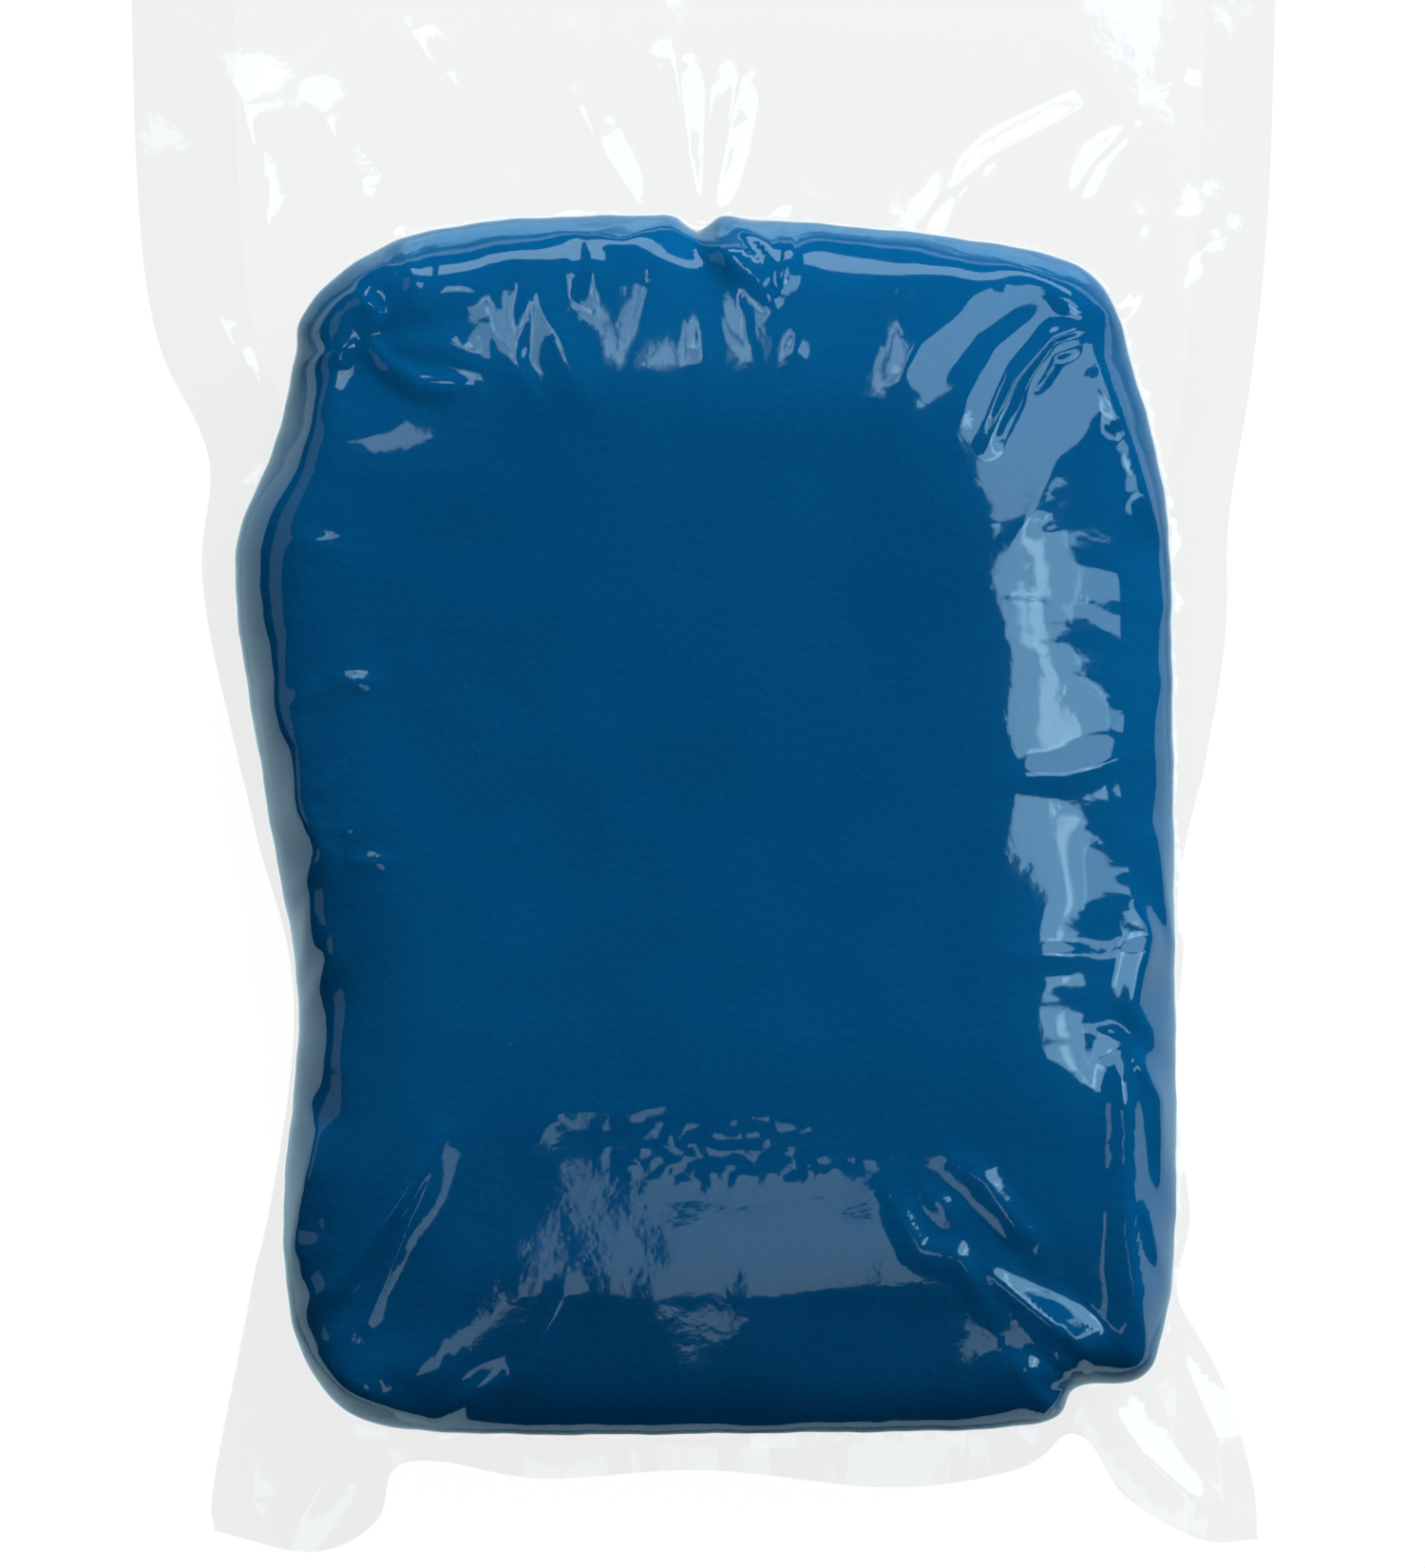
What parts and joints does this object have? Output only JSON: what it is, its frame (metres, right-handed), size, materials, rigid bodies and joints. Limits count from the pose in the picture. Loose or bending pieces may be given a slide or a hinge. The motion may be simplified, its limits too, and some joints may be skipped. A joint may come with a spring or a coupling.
{
  "type": "clay bar",
  "caption": "Dark blue detailing clay slab vacuum packed between two welded plies of clear film, with a flat header at the mouth.",
  "frame": {"origin": "under the middle of the pouch, on the surface that its back lies on", "axes": "+Z out of the front face, +Y along the pouch towards its mouth, +X to the right seen from the front"},
  "size_m": [0.1, 0.1497, 0.0145],
  "materials": {
    "clay": "smooth dark blue polymer clay, satin under tight film",
    "film": "clear glossy nylon and polyethylene vacuum film",
    "seal": "two plies of the same film heat welded into one, slightly hazy"
  },
  "bodies": {
    "root": {"clay_bar": "clay", "front_film": "film", "back_film": "film", "left_side_seal": "seal", "right_side_seal": "seal", "bottom_seal": "seal", "top_seal": "seal"}
  },
  "joints": []
}
